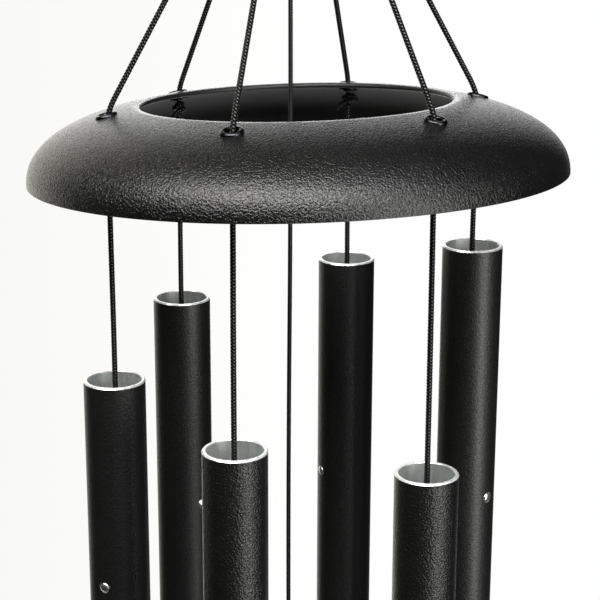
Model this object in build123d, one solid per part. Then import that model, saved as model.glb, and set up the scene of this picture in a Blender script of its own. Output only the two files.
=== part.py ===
from build123d import *
import math
import os

os.makedirs("parts", exist_ok=True)

# A six-tube wind chime with a domed halo, hung from one ring.
# Millimetres. +Z is up, -Y is the front and +X is to the right of it.
# The origin is where the hanging ring bears on its hook, so everything else hangs below Z = 0.

# ---- fits ----
RUNNING_GAP = 0.05  # between pieces that turn on each other
SEAT_GAP = 0.02  # between pieces that are pressed or crimped together
LOOP_GAP = 0.2  # slack of the cord bights round the hanging ring
LINK_GAP = 0.45  # slack of the straight holes and sleeves round the sail's curved ring

# ---- hanging ring and the knot that gathers the cords ----
RING_BORE = 25.0
RING_WIRE = 3.5
BIGHT_COUNT = 3
BIGHT_PITCH_DEG = 12.6  # round the ring, from one bight to the next
KNOT_BELOW_RING = 4.0
GATHER_RADIUS = 7.0
GATHER_HEIGHT = 17.0
GATHER_ROUNDING = 3.0
GATHER_BELOW_APEX = 9.0  # the cords leave the knot this far below the point they aim at

# ---- cords ----
CORD = 2.4
CENTRE_CORD = 2.0
CENTRE_CORD_X = -2.6  # the centre cord leaves the gathering knot to one side
CORD_BEND_SHARE = 0.45  # of the shorter run beside a bend

# ---- halo: a spun aluminium shell with a superellipse section ----
APEX_ABOVE_HALO = 136.0
HALO_RADIUS = 109.3
HALO_OPENING_RADIUS = 62.9
HALO_HEIGHT = 32.1  # of the superellipse, from the skirt's edge
HALO_CROWN_RADIUS = 28.3  # where the superellipse would level out
HALO_POWER = 2.265
HALO_SKIRT_DROP = 28.5  # skirt's edge below the level of the eyelets
HALO_WALL = 2.0
HALO_SPANS = 9
HALO_LEAN_X_DEG = -2.0  # the knots leave the halo a little out of level
HALO_LEAN_Y_DEG = -1.7

# ---- eyelets and the knots under them ----
EYELET_BORE = 5.0
EYELET_BARREL = 6.2
EYELET_FLANGE = 9.0
EYELET_FLANGE_THICKNESS = 1.1
EYELET_ROLL = 8.0
EYELET_ROLL_THICKNESS = 0.8
EYELET_SHELL_GAP = 0.1  # the roll stands this far off the shell's curved inside
BEND_ABOVE_EYELET = 2.3  # cord's bend above the middle of the shell
STOPPER_RADIUS = 3.0

# ---- tubes, longest first, going round from the right ----
TUBE_COUNT = 6
TUBE_CIRCLE = 76.5  # radius on which the tubes hang
FIRST_TUBE_DEG = 102.6  # from the front towards +X
TUBE_OD = 25.4
TUBE_WALL = 1.6
LONGEST_TUBE = 494.0
NOTE_STEPS = (0, 3, 5, 8, 10, 12)  # semitones above the longest tube, a five-note scale
STEPS_PER_OCTAVE = 12
NODE_SHARE = 0.224  # a free tube's still point, as a share of its length
TUBE_TOP_DROPS = (62.4, 82.4, 96.7, 111.6, 121.1, 136.7)  # below the level of the eyelets
RIM_CHAMFER = 0.35
PIN = 3.2
PIN_HOLE = 3.24
PIN_PROUD = 0.4
PIN_ROUNDING = 0.6
PIN_HEADINGS_DEG = (44.4, -62.6, 41.7, -24.2, 72.0, -48.0)  # from the front towards +X
HITCH_WIDTH = 7.5
HITCH_ROUNDING = 0.9

# ---- striker ----
CENTRE_KNOT_RADIUS = 2.0
STRIKER_DROP = 311.0  # its middle below the level of the eyelets
STRIKER_DIAMETER = 88.0
STRIKER_THICKNESS = 19.0
STRIKER_ROUNDING = 4.0
STRIKER_BORE = 4.0
STRIKER_BORE_CHAMFER = 1.0
STRIKER_KNOT_RADIUS = 4.0
SAIL_KNOT_RADIUS = 2.6

# ---- sail ----
SAIL_RING_DROP = 592.0  # ring's centre below the level of the eyelets
SAIL_RING_BORE = 10.0
SAIL_RING_WIRE = 1.8
SAIL_HITCH_WIDTH = 4.0
SAIL_HITCH_ROUNDING = 0.7
SAIL_THICKNESS = 2.0
SAIL_TOP_RADIUS = 11.0
SAIL_BOTTOM_RADIUS = 44.0
SAIL_HEIGHT = 118.0
SAIL_EDGE_ROUNDING = 0.6
SAIL_HOLE_BELOW_TOP = 6.5
SAIL_EYELET_BORE = 4.4
SAIL_EYELET_BARREL = 5.4
SAIL_EYELET_FLANGE = 8.0
SAIL_EYELET_LIP = 0.6

# ---- levels and places that follow from the sizes above ----
RING_CENTRE_Z = -RING_BORE / 2
RING_LINE_RADIUS = (RING_BORE + RING_WIRE) / 2
RING_FOOT_Z = RING_CENTRE_Z - RING_LINE_RADIUS
GATHER_TOP_Z = RING_FOOT_Z - RING_WIRE / 2 - KNOT_BELOW_RING
GATHER_FOOT_Z = GATHER_TOP_Z - GATHER_HEIGHT
APEX_Z = GATHER_FOOT_Z + GATHER_BELOW_APEX
HALO_Z = APEX_Z - APEX_ABOVE_HALO
HALO_PLACE = Pos(0, 0, HALO_Z) * Rot(HALO_LEAN_X_DEG, HALO_LEAN_Y_DEG, 0)
TUBE_LENGTHS = [
    LONGEST_TUBE * 2 ** (-step / (2 * STEPS_PER_OCTAVE)) for step in NOTE_STEPS
]
TUBE_HEADINGS = [FIRST_TUBE_DEG + n * 360 / TUBE_COUNT for n in range(TUBE_COUNT)]
CENTRE_KNOT_Z = GATHER_FOOT_Z - RUNNING_GAP - CENTRE_KNOT_RADIUS
STRIKER_Z = HALO_Z - STRIKER_DROP
STRIKER_KNOT_Z = STRIKER_Z - STRIKER_THICKNESS / 2 - RUNNING_GAP - STRIKER_KNOT_RADIUS
SAIL_KNOT_Z = STRIKER_KNOT_Z - STRIKER_KNOT_RADIUS - RUNNING_GAP - SAIL_KNOT_RADIUS
SAIL_RING_Z = HALO_Z - SAIL_RING_DROP
SAIL_RING_LINE_RADIUS = (SAIL_RING_BORE + SAIL_RING_WIRE) / 2


def save(shape, node):
    """Writes one node's file."""
    shape.label = node
    export_step(shape, f"parts/{node}.step")


def outward(heading):
    """The level direction of a heading, counted from the front towards +X."""
    angle = math.radians(heading)
    return Vector(math.sin(angle), -math.cos(angle), 0)


def ball(place, radius):
    return Pos(place) * Sphere(radius)


def straight_cord(start, end, diameter):
    """A round cord from start to end."""
    line = Line(start, end)
    section = Plane(origin=start, z_dir=line % 0) * Circle(diameter / 2)
    return sweep(section, path=line)


def bent_cord(points, diameter):
    """A round cord along straight runs, with one arc as large as its runs allow at each point."""
    points = [Vector(p) for p in points]
    radii = []
    for before, here, after in zip(points, points[1:], points[2:]):
        turn = math.radians((here - before).get_angle(after - here))
        shorter = min((here - before).length, (after - here).length)
        radii.append(CORD_BEND_SHARE * shorter / math.tan(turn / 2))
    path = FilletPolyline(*points, radius=radii)
    section = Plane(origin=points[0], z_dir=path % 0) * Circle(diameter / 2)
    solid = sweep(section, path=path)
    want = math.pi * diameter**2 / 4 * path.length
    print("cord radii", [round(r, 1) for r in radii], "volume ratio", round(solid.volume / want, 4))
    return solid


def wire_ring(bore, wire):
    """A closed ring of round wire in the XZ plane."""
    return Rot(90, 0, 0) * Torus((bore + wire) / 2, wire / 2)


def wrapped_sleeve(bore_radius, cord, width, rounding):
    """The turns of a cord round a pin along X, as one sleeve with rounded ends."""
    sleeve = Rot(0, 90, 0) * (Cylinder(bore_radius + cord, width) - Cylinder(bore_radius, width))
    ends = sleeve.edges().filter_by(GeomType.CIRCLE)
    outer = [e for e in ends if e.radius > bore_radius + cord / 2]
    return fillet(outer, rounding)


# ---- halo ----
def halo_section_point(angle, inset=0.0):
    """A point of the halo's section as (radius, height), moved inwards along the normal by inset."""
    width = HALO_RADIUS - HALO_CROWN_RADIUS
    exponent = 2 / HALO_POWER
    across = math.cos(angle) ** exponent
    up = math.sin(angle) ** exponent
    radius = HALO_CROWN_RADIUS + width * across
    height = HALO_HEIGHT * up - HALO_SKIRT_DROP
    normal = Vector(across ** (HALO_POWER - 1) / width, 0, up ** (HALO_POWER - 1) / HALO_HEIGHT)
    normal = normal.normalized()
    return Vector(radius - inset * normal.X, 0, height - inset * normal.Z), normal


def section_angle_at(radius):
    """The superellipse angle at which the halo's outside has this radius."""
    share = (radius - HALO_CROWN_RADIUS) / (HALO_RADIUS - HALO_CROWN_RADIUS)
    return math.acos(share ** (HALO_POWER / 2))


def halo_line(inset):
    """The halo's section line from the skirt's edge to the opening."""
    last = section_angle_at(HALO_OPENING_RADIUS)
    angles = [last * n / HALO_SPANS for n in range(HALO_SPANS + 1)]
    points = [halo_section_point(angle, inset)[0] for angle in angles]
    normal = halo_section_point(last)[1]
    crown_direction = Vector(-normal.Z, 0, normal.X)
    return Spline(*points, tangents=[(0, 0, 1), crown_direction])


def halo_shell():
    outside = halo_line(0)
    inside = halo_line(HALO_WALL)
    rim = Line(outside @ 1, inside @ 1)
    skirt_edge = Line(inside @ 0, outside @ 0)
    section = make_face([outside, rim, inside, skirt_edge])
    shell = revolve(section, axis=Axis.Z)
    for frame in EYELET_FRAMES:
        shell -= frame * Cylinder(EYELET_BARREL / 2 + SEAT_GAP, 4 * HALO_WALL)
    return HALO_PLACE * shell


def eyelet_frame(heading):
    """A frame in the middle of the halo's wall, its Z along the wall's normal."""
    angle = section_angle_at(TUBE_CIRCLE)
    middle, normal = halo_section_point(angle, HALO_WALL / 2)
    out = outward(heading)
    origin = out * middle.X + Vector(0, 0, middle.Z)
    z_dir = out * normal.X + Vector(0, 0, normal.Z)
    return Plane(origin=origin, x_dir=Axis.Z.direction.cross(out), z_dir=z_dir).location


EYELET_FRAMES = [eyelet_frame(heading) for heading in TUBE_HEADINGS]


def eyelet():
    """A rolled grommet on the Z axis, its wall's middle at the origin."""
    top = HALO_WALL / 2
    roll_top = -HALO_WALL / 2 - EYELET_SHELL_GAP
    roll_foot = roll_top - EYELET_ROLL_THICKNESS
    height = top + EYELET_FLANGE_THICKNESS - roll_foot
    middle = (top + EYELET_FLANGE_THICKNESS + roll_foot) / 2
    flange_middle = top + EYELET_FLANGE_THICKNESS / 2
    body = Pos(0, 0, middle) * Cylinder(EYELET_BARREL / 2, height)
    body += Pos(0, 0, flange_middle) * Cylinder(EYELET_FLANGE / 2, EYELET_FLANGE_THICKNESS)
    body += Pos(0, 0, roll_foot + EYELET_ROLL_THICKNESS / 2) * Cylinder(
        EYELET_ROLL / 2, EYELET_ROLL_THICKNESS
    )
    body -= Pos(0, 0, middle) * Cylinder(EYELET_BORE / 2, height)
    round_edges = body.edges().filter_by(GeomType.CIRCLE)
    flange_edge = [
        e for e in round_edges if abs(e.center().Z - top - EYELET_FLANGE_THICKNESS) < SEAT_GAP
    ]
    return fillet(flange_edge, EYELET_FLANGE_THICKNESS / 2)


EYELET_FOOT = HALO_WALL / 2 + EYELET_SHELL_GAP + EYELET_ROLL_THICKNESS


# ---- hanger ----
def hang_loops():
    """The bights of the folded cords over the ring, each running down into the gathering knot."""
    bend = RING_WIRE / 2 + LOOP_GAP + CORD / 2
    leg = RING_FOOT_Z - GATHER_TOP_Z + CORD
    loops = []
    for n in range(BIGHT_COUNT):
        swing = (n - (BIGHT_COUNT - 1) / 2) * BIGHT_PITCH_DEG
        crown = Plane.YZ * CenterArc((0, 0), bend, 0, 180)
        legs = [Line((0, side * bend, 0), (0, side * bend, -leg)) for side in (1, -1)]
        section = Plane(origin=(0, bend, -leg), z_dir=(0, 0, 1)) * Circle(CORD / 2)
        loop = sweep(section, path=Wire([legs[0], crown, legs[1]]))
        place = Pos(0, 0, RING_CENTRE_Z) * Rot(0, swing, 0) * Pos(0, 0, -RING_LINE_RADIUS)
        loops.append(place * loop - gather_knot())
    return Compound(loops)


def gather_knot():
    middle = (GATHER_TOP_Z + GATHER_FOOT_Z) / 2
    knot = Cylinder(GATHER_RADIUS, GATHER_HEIGHT)
    return Pos(0, 0, middle) * fillet(knot.edges().filter_by(GeomType.CIRCLE), GATHER_ROUNDING)


# ---- one tube line ----
def stopper_place(middle, normal):
    """The centre of the knot that bears on an eyelet's foot."""
    reach = EYELET_FOOT + RUNNING_GAP + STOPPER_RADIUS
    return middle - Vector(0, 0, reach / normal.Z)


def halo_cord(middle, knot):
    """From the gathering knot straight to the eyelet, then down through it to the stopper knot."""
    bend = middle + Vector(0, 0, BEND_ABOVE_EYELET)
    apex = Vector(0, 0, APEX_Z)
    run = bend - apex
    start = apex + run * ((GATHER_BELOW_APEX - CORD) / -run.Z)
    foot = knot + Vector(0, 0, STOPPER_RADIUS + RUNNING_GAP)
    return bent_cord([start, bend, foot], CORD) - gather_knot()


def tube(length, top, heading):
    """One tuned tube with its cross holes, hanging on the Z axis from the level top."""
    shell = Cylinder(TUBE_OD / 2, length) - Cylinder(TUBE_OD / 2 - TUBE_WALL, length)
    shell = chamfer(shell.edges().filter_by(GeomType.CIRCLE), RIM_CHAMFER)
    shell = Pos(0, 0, top - length / 2) * shell
    hole = Rot(90, 0, 0) * Cylinder(PIN_HOLE / 2, TUBE_OD + 2)
    return shell - Pos(0, 0, top - NODE_SHARE * length) * Rot(0, 0, heading) * hole


def tube_pin():
    """The cross pin along X, with rounded ends just proud of the tube."""
    pin = Rot(0, 90, 0) * Cylinder(PIN / 2, TUBE_OD + 2 * PIN_PROUD)
    return fillet(pin.edges().filter_by(GeomType.CIRCLE), PIN_ROUNDING)


def tube_line(number):
    """Everything that hangs from one eyelet."""
    name = number + 1
    frame = HALO_PLACE * EYELET_FRAMES[number]
    middle = Vector(frame.position)
    normal = Plane(frame).z_dir
    knot = stopper_place(middle, normal)
    length = TUBE_LENGTHS[number]
    top = HALO_Z - TUBE_TOP_DROPS[number]
    pin_heading = PIN_HEADINGS_DEG[number]
    pin_place = Pos(middle.X, middle.Y, top - NODE_SHARE * length)
    pin_turn = Rot(0, 0, pin_heading - 90)

    save(frame * eyelet(), f"eyelet_{name}")
    save(halo_cord(middle, knot), f"halo_cord_{name}")
    save(ball(knot, STOPPER_RADIUS), f"stopper_knot_{name}")

    hitch = wrapped_sleeve(PIN / 2 + RUNNING_GAP, CORD, HITCH_WIDTH, HITCH_ROUNDING)
    hitch_core = Rot(0, 90, 0) * Cylinder(PIN / 2 + RUNNING_GAP + CORD, HITCH_WIDTH)
    cord_top = knot - Vector(0, 0, STOPPER_RADIUS + RUNNING_GAP)
    cord = straight_cord(cord_top, pin_place.position, CORD)
    save(cord - pin_place * pin_turn * hitch_core, f"tube_cord_{name}")
    save(pin_place * pin_turn * hitch, f"pin_hitch_{name}")

    save(Pos(middle.X, middle.Y, 0) * tube(length, top, pin_heading), f"tube_{name}")
    save(pin_place * pin_turn * tube_pin(), f"tube_pin_{name}")
    print(
        f"tube {name}: length {length:.1f} at {middle.X:.3f}, {middle.Y:.3f}, top {top:.2f}, "
        f"pin {top - NODE_SHARE * length:.3f}, knot {knot.Z:.3f}, eyelet {middle.Z:.3f}"
    )


# ---- striker and sail ----
def striker():
    disc = Cylinder(STRIKER_DIAMETER / 2, STRIKER_THICKNESS)
    disc = fillet(disc.edges().filter_by(GeomType.CIRCLE), STRIKER_ROUNDING)
    disc -= Cylinder(STRIKER_BORE / 2, STRIKER_THICKNESS)
    mouths = [e for e in disc.edges().filter_by(GeomType.CIRCLE) if e.radius < STRIKER_BORE]
    return chamfer(mouths, STRIKER_BORE_CHAMFER)


def sail_outline():
    """A teardrop: a small round head and a large round foot, joined by straight sides."""
    foot_z = SAIL_TOP_RADIUS + SAIL_BOTTOM_RADIUS - SAIL_HEIGHT
    head = CenterArc((0, 0), SAIL_TOP_RADIUS, 0, 360)
    foot = CenterArc((0, foot_z), SAIL_BOTTOM_RADIUS, 0, 360)
    return make_hull([head, foot])


def sail_plate():
    """The sail in the XZ plane, its hole's middle at the origin."""
    plate = extrude(Plane.XZ * sail_outline(), SAIL_THICKNESS / 2, both=True)
    plate = Pos(0, 0, SAIL_HOLE_BELOW_TOP - SAIL_TOP_RADIUS) * plate
    plate = fillet(plate.edges().filter_by(Plane.XZ), SAIL_EDGE_ROUNDING)
    return plate - Rot(90, 0, 0) * Cylinder(SAIL_EYELET_BARREL / 2 + SEAT_GAP, 2 * SAIL_THICKNESS)


def sail_eyelet():
    full = SAIL_THICKNESS + 2 * (SAIL_EYELET_LIP + SEAT_GAP)
    body = Cylinder(SAIL_EYELET_BARREL / 2, full)
    for side in (1, -1):
        lip_z = side * (full - SAIL_EYELET_LIP) / 2
        body += Pos(0, 0, lip_z) * Cylinder(SAIL_EYELET_FLANGE / 2, SAIL_EYELET_LIP)
    body -= Cylinder(SAIL_EYELET_BORE / 2, full)
    rims = body.edges().filter_by(GeomType.CIRCLE)
    mouths = [e for e in rims if abs(abs(e.center().Z) - full / 2) < SEAT_GAP]
    return Rot(90, 0, 0) * fillet(mouths, SAIL_EYELET_LIP / 2)


def striker_line():
    """The centre cord with its knots and the striker that rests on the lower one."""
    centre = Vector(CENTRE_CORD_X, 0, 0)
    top_knot = centre + Vector(0, 0, CENTRE_KNOT_Z)
    stop_knot = centre + Vector(0, 0, STRIKER_KNOT_Z)
    cord_top = top_knot - Vector(0, 0, CENTRE_KNOT_RADIUS + RUNNING_GAP)
    stop = ball(stop_knot, STRIKER_KNOT_RADIUS)
    save(ball(top_knot, CENTRE_KNOT_RADIUS), "centre_knot")
    save(straight_cord(cord_top, stop_knot, CENTRE_CORD) - stop, "centre_cord")
    save(Pos(CENTRE_CORD_X, 0, STRIKER_Z) * striker(), "striker")
    save(stop, "striker_knot")


def sail_line():
    """The sail's cord, its ring and the sail that hangs on the ring."""
    knot = Vector(CENTRE_CORD_X, 0, SAIL_KNOT_Z)
    cord_top = knot - Vector(0, 0, SAIL_KNOT_RADIUS + RUNNING_GAP)
    ring_place = Vector(CENTRE_CORD_X, 0, SAIL_RING_Z)
    wire_top = ring_place + Vector(0, 0, SAIL_RING_LINE_RADIUS)
    wire_foot = ring_place - Vector(0, 0, SAIL_RING_LINE_RADIUS)
    sleeve_bore = SAIL_RING_WIRE / 2 + LINK_GAP
    hitch = wrapped_sleeve(sleeve_bore, CENTRE_CORD, SAIL_HITCH_WIDTH, SAIL_HITCH_ROUNDING)
    cord_foot = wire_top + Vector(0, 0, sleeve_bore + CENTRE_CORD + RUNNING_GAP)
    hole_drop = (SAIL_EYELET_BORE - SAIL_RING_WIRE) / 2 - LINK_GAP
    hole = wire_foot - Vector(0, 0, hole_drop)
    save(ball(knot, SAIL_KNOT_RADIUS), "sail_knot")
    save(straight_cord(cord_top, cord_foot, CENTRE_CORD), "sail_cord")
    save(Pos(wire_top) * Rot(0, 0, 90) * hitch, "sail_hitch")
    save(Pos(ring_place) * Rot(0, 0, 90) * wire_ring(SAIL_RING_BORE, SAIL_RING_WIRE), "sail_ring")
    save(Pos(hole) * sail_plate(), "sail")
    save(Pos(hole) * sail_eyelet(), "sail_eyelet")
    print(f"sail: ring {SAIL_RING_Z:.3f}, hole {hole.Z:.3f}, wire foot {wire_foot.Z:.3f}")


save(Pos(0, 0, RING_CENTRE_Z) * wire_ring(RING_BORE, RING_WIRE), "hanging_ring")
save(hang_loops(), "hang_loops")
save(gather_knot(), "gather_knot")
save(halo_shell(), "halo")
for tube_number in range(TUBE_COUNT):
    tube_line(tube_number)
striker_line()
sail_line()
print(f"levels: gather {GATHER_TOP_Z:.2f} to {GATHER_FOOT_Z:.2f}, apex {APEX_Z:.2f}, halo {HALO_Z:.2f}")
print(f"striker {STRIKER_Z:.2f}, its knot {STRIKER_KNOT_Z:.3f}, sail knot {SAIL_KNOT_Z:.3f}")
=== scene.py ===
import math

import bpy
import numpy as np
from mathutils import Matrix, Vector


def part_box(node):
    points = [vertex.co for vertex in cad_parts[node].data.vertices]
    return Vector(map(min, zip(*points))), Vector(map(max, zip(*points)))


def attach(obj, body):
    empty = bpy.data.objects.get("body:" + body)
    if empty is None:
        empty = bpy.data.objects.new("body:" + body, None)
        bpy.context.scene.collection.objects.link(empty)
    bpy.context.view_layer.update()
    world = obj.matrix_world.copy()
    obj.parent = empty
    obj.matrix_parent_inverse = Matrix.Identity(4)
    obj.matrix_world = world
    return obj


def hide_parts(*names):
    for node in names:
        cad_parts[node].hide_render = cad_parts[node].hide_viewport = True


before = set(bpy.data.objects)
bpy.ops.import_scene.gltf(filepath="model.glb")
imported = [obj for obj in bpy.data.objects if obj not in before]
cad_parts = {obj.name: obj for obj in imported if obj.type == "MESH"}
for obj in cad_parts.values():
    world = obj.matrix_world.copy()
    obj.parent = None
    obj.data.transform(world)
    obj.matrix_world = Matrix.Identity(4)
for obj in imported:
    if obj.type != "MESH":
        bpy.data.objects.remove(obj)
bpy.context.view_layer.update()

# Looks of a six-tube wind chime with a domed halo. Lengths are millimetres, as in the part's source,
# and become metres when a piece is made. Materials, lights and the floor are in metres.
MM = 0.001

# ---- sizes repeated from the part's source ----
RUNNING_GAP = 0.05
SEAT_GAP = 0.02
LOOP_GAP = 0.2
RING_WIRE = 3.5
BIGHT_PITCH_DEG = 12.6
GATHER_RADIUS = 7.0
GATHER_HEIGHT = 17.0
GATHER_BELOW_APEX = 9.0
CORD = 2.4
CENTRE_CORD = 2.0
CENTRE_CORD_X = -2.6
APEX_ABOVE_HALO = 136.0
HALO_RADIUS = 109.3
HALO_OPENING_RADIUS = 62.9
HALO_HEIGHT = 32.1
HALO_CROWN_RADIUS = 28.3
HALO_POWER = 2.265
HALO_SKIRT_DROP = 28.5
HALO_WALL = 2.0
HALO_LEAN_X_DEG = -2.0
HALO_LEAN_Y_DEG = -1.7
EYELET_BORE = 5.0
EYELET_BARREL = 6.2
EYELET_FLANGE = 9.0
EYELET_FLANGE_THICKNESS = 1.1
EYELET_ROLL = 8.0
EYELET_ROLL_THICKNESS = 0.8
EYELET_SHELL_GAP = 0.1
BEND_ABOVE_EYELET = 2.3
STOPPER_RADIUS = 3.0
TUBE_COUNT = 6
TUBE_CIRCLE = 76.5
FIRST_TUBE_DEG = 102.6
TUBE_OD = 25.4
TUBE_WALL = 1.6
PIN = 3.2
PIN_HEADINGS_DEG = (44.4, -62.6, 41.7, -24.2, 72.0, -48.0)
STRIKER_DIAMETER = 88.0
STRIKER_THICKNESS = 19.0
STRIKER_ROUNDING = 4.0
STRIKER_BORE = 4.0
STRIKER_BORE_ROUNDING = 1.0
SAIL_RING_BORE = 10.0
SAIL_RING_WIRE = 1.8
SAIL_THICKNESS = 2.0
SAIL_TOP_RADIUS = 11.0
SAIL_BOTTOM_RADIUS = 44.0
SAIL_HEIGHT = 118.0
SAIL_EDGE_ROUNDING = 0.6
SAIL_HOLE_BELOW_TOP = 6.5
SAIL_EYELET_BARREL = 5.4

# ---- places read from the frame ----
def low(node):
    return np.array(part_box(node)[0]) / MM


def high(node):
    return np.array(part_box(node)[1]) / MM


def middle(node):
    return (low(node) + high(node)) / 2


GATHER_TOP_Z = high("gather_knot")[2]
GATHER_FOOT_Z = low("gather_knot")[2]
APEX_Z = GATHER_FOOT_Z + GATHER_BELOW_APEX
HALO_Z = APEX_Z - APEX_ABOVE_HALO


def turn(axis, degrees):
    return Matrix.Rotation(math.radians(degrees), 4, axis)


def shift(x, y, z):
    return Matrix.Translation((x, y, z))


HALO_PLACE = shift(0, 0, HALO_Z) @ turn("X", HALO_LEAN_X_DEG) @ turn("Y", HALO_LEAN_Y_DEG)
numbers = range(1, TUBE_COUNT + 1)


def heading_deg(number):
    """A tube's heading round the halo, from the front towards +X."""
    return FIRST_TUBE_DEG + (number - 1) * 360 / TUBE_COUNT


# ---- camera ----
CAMERA_PLACE = (2.8, -670.5, -71.6)
CAMERA_PITCH_DEG = 15.6
CAMERA_YAW_DEG = 0.089
CAMERA_ROLL_DEG = 0.174
CAMERA_LENS = 100.53
SENSOR_WIDTH = 36
CLIP_NEAR_M, CLIP_FAR_M = 0.01, 200


def make_camera():
    data = bpy.data.cameras.new("camera")
    data.lens = CAMERA_LENS
    data.sensor_width = SENSOR_WIDTH
    data.clip_start, data.clip_end = CLIP_NEAR_M, CLIP_FAR_M
    camera = bpy.data.objects.new("camera", data)
    bpy.context.scene.collection.objects.link(camera)
    aim = turn("Z", CAMERA_YAW_DEG) @ turn("X", 90 - CAMERA_PITCH_DEG) @ turn("Z", CAMERA_ROLL_DEG)
    camera.matrix_world = Matrix.Translation(Vector(CAMERA_PLACE) * MM) @ aim
    bpy.context.scene.camera = camera


# ---- shells: points, quads and triangles ----
NO_TRIANGLES = np.zeros((0, 3), int)


def grid(rows, loop=False, caps=(False, False)):
    """A shell through rows of points, each row closed. loop joins the last row to the first."""
    rows = np.asarray(rows, float)
    count, around, columns = rows.shape
    first = np.arange(count if loop else count - 1)[:, None]
    column = np.arange(around)[None]
    after, beside = (first + 1) % count, (column + 1) % around
    near, far = first * around, after * around
    quads = np.stack([near + column, near + beside, far + beside, far + column], -1).reshape(-1, 4)
    points, triangles = rows.reshape(-1, columns), []
    for row, wanted, order in ((0, caps[0], (0, 2, 1)), (count - 1, caps[1], (0, 1, 2))):
        if wanted:
            hub = np.full(around, len(points))
            points = np.vstack([points, rows[row].mean(0)])
            rim = row * around + np.arange(around)
            fan = np.stack([hub, rim, row * around + (np.arange(around) + 1) % around], -1)
            triangles.append(fan[:, order])
    return points, quads, np.vstack(triangles) if triangles else NO_TRIANGLES


def lathe(profile, segments, loop=False, caps=(False, False)):
    """A shell of revolution about Z through (radius, height) points, listed upwards on its outside."""
    profile = np.asarray(profile, float)
    angles = np.arange(segments) * 2 * math.pi / segments
    x = profile[:, :1] * np.cos(angles)
    y = profile[:, :1] * np.sin(angles)
    z = np.broadcast_to(profile[:, 1:], x.shape)
    return grid(np.stack([x, y, z], -1), loop, caps)


def moved(shell, matrix):
    """The shell in another place. A fourth column, a strand's crown, is kept."""
    m = np.array(matrix)
    placed = shell[0][:, :3] @ m[:3, :3].T + m[:3, 3]
    return np.hstack([placed, shell[0][:, 3:]]), shell[1], shell[2]


def joined(shells):
    """Several shells as one. A shell without crowns gets crowns of zero beside one that has them."""
    points, quads, triangles, start = [], [], [], 0
    wide = max(p.shape[1] for p, _, _ in shells)
    for p, q, t in shells:
        points.append(np.pad(p, ((0, 0), (0, wide - p.shape[1]))))
        quads.append(q + start)
        triangles.append(t + start)
        start += len(p)
    return np.vstack(points), np.vstack(quads), np.vstack(triangles)


def arc(centre, radii, start_deg, end_deg, count):
    """Points of an elliptic arc in a section, both ends included. radii are across and up."""
    angles = np.radians(np.linspace(start_deg, end_deg, count))
    return [(centre[0] + radii[0] * math.cos(a), centre[1] + radii[1] * math.sin(a)) for a in angles]


# ---- pieces ----
def new_object(name, shell, origin=(0, 0, 0)):
    """A mesh object of a shell given in millimetres, with its own origin at the given place."""
    points, quads, triangles = shell
    mesh = bpy.data.meshes.new(name)
    mesh.vertices.add(len(points))
    mesh.vertices.foreach_set("co", ((points[:, :3] - np.array(origin)) * MM).astype(np.float32).ravel())
    mesh.loops.add(4 * len(quads) + 3 * len(triangles))
    corners = np.concatenate([quads.ravel(), triangles.ravel()])
    mesh.loops.foreach_set("vertex_index", corners.astype(np.int32))
    starts = [np.arange(len(quads)) * 4, 4 * len(quads) + np.arange(len(triangles)) * 3]
    mesh.polygons.add(len(quads) + len(triangles))
    mesh.polygons.foreach_set("loop_start", np.concatenate(starts).astype(np.int32))
    mesh.update(calc_edges=True)
    if points.shape[1] == 4:
        crown = mesh.attributes.new("crown", "FLOAT", "POINT")
        crown.data.foreach_set("value", points[:, 3].astype(np.float32))
    mesh.validate()
    mesh.shade_smooth()
    made = bpy.data.objects.new(name, mesh)
    made.location = Vector(origin) * MM
    bpy.context.scene.collection.objects.link(made)
    return made


def finished(made, body, material, slot, *nodes, sharp_deg=None):
    """Gives a piece its material and its body, and hides the CAD nodes that it stands for."""
    if sharp_deg:
        made.data.set_sharp_from_angle(angle=math.radians(sharp_deg))
    for m in material if isinstance(material, list) else [material]:
        made.data.materials.append(m)
    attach(made, body)
    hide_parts(*nodes)
    return made


def cut(made, shell):
    """Takes a shell away from a piece."""
    cutter = new_object("cutter", shell)
    hole = made.modifiers.new("hole", "BOOLEAN")
    hole.operation, hole.solver, hole.object = "DIFFERENCE", "EXACT", cutter
    bpy.context.view_layer.update()
    mesh = bpy.data.meshes.new_from_object(made.evaluated_get(bpy.context.evaluated_depsgraph_get()))
    made.modifiers.clear()
    made.data = mesh
    bpy.data.objects.remove(cutter)


# ---- cords ----
# A braid's sizes are shares of the cord's diameter or, from the strands' reach on, of its radius.
STRANDS = 3  # in each direction
STRAND_SIDES = 6
CORE_SIDES = 8
BRAID_PITCH = 1.65
BRAID_STEP = 0.115
STRAND_REACH = 0.69
STRAND_WAVE = 0.09
STRAND_HALF_THICKNESS = 0.24
STRAND_HALF_WIDTH = 0.47
CORE_REACH = 0.66
LINE_RESOLUTION = 24  # of a spline, for each of its points


def spline_points(control):
    """The points of the NURBS line that has these control points, in millimetres."""
    curve = bpy.data.curves.new("line", "CURVE")
    curve.dimensions = "3D"
    spline = curve.splines.new("NURBS")
    spline.points.add(len(control) - 1)
    for point, place in zip(spline.points, control):
        point.co = (*(Vector(place) * MM), 1)
    spline.order_u = 3
    spline.use_endpoint_u = True
    spline.resolution_u = LINE_RESOLUTION
    holder = bpy.data.objects.new("line", curve)
    bpy.context.scene.collection.objects.link(holder)
    mesh = bpy.data.meshes.new_from_object(holder)
    points = np.array([v.co for v in mesh.vertices], float) / MM
    bpy.data.objects.remove(holder)
    bpy.data.curves.remove(curve)
    bpy.data.meshes.remove(mesh)
    return points


def travelled(points):
    """How far along the line each point is."""
    return np.concatenate([[0], np.cumsum(np.linalg.norm(np.diff(points, axis=0), axis=1))])


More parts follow.
